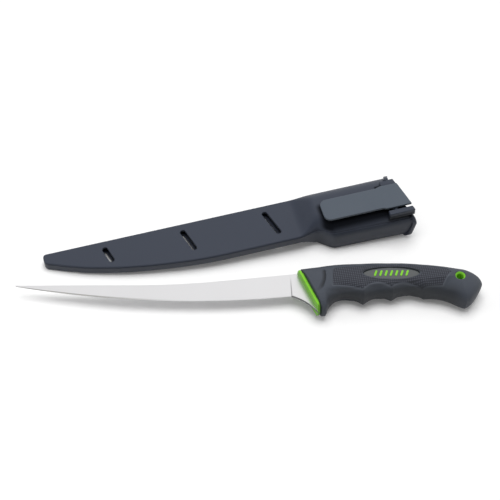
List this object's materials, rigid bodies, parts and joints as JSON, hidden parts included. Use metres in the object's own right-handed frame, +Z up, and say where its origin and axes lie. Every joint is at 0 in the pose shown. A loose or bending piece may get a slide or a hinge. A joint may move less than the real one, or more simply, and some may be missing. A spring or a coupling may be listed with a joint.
{
  "type": "fillet knife with sheath",
  "caption": "Fillet knife with a slim curved blade and a soft finger-grooved handle, beside its hard belt sheath with slots and a sprung clip.",
  "frame": {"origin": "middle of the bounding box, on the table that both things lie on", "axes": "+X from the blade's tip towards the butt, +Y from the knife to the sheath, +Z up off the table"},
  "size_m": [0.3312, 0.1194, 0.0325],
  "materials": {
    "blade_steel": "fine satin, ground from the spine to the edge",
    "core_plastic": "semi-gloss bright green",
    "grip_rubber": "soft matt blue-grey, knurled on the sides",
    "badge_plastic": "glossy dark grey",
    "sheath_plastic": "satin blue-grey moulding",
    "clip_plastic": "satin grey moulding"
  },
  "bodies": {
    "knife": {"blade": "blade_steel", "handle_core": "core_plastic", "grip": "grip_rubber", "badge_plate_right": "badge_plastic", "badge_plate_left": "badge_plastic"},
    "sheath": {"sheath_cover": "sheath_plastic", "sheath_base": "sheath_plastic", "clip_pin": "sheath_plastic"},
    "clip": {"belt_clip": "clip_plastic"}
  },
  "joints": [
    {"name": "sheath_slide", "type": "slide", "parent": "knife", "child": "sheath", "axis": [0.9699, 0.2436, 0], "range_m": [0, 0.25]},
    {"name": "clip_spring", "type": "hinge", "parent": "sheath", "child": "clip", "pos_m": [0.10442, 0.03027, 0.02943], "axis": [-0.2436, 0.9699, 0], "range_deg": [0, 7], "stiffness_Nm_per_rad": 3}
  ]
}
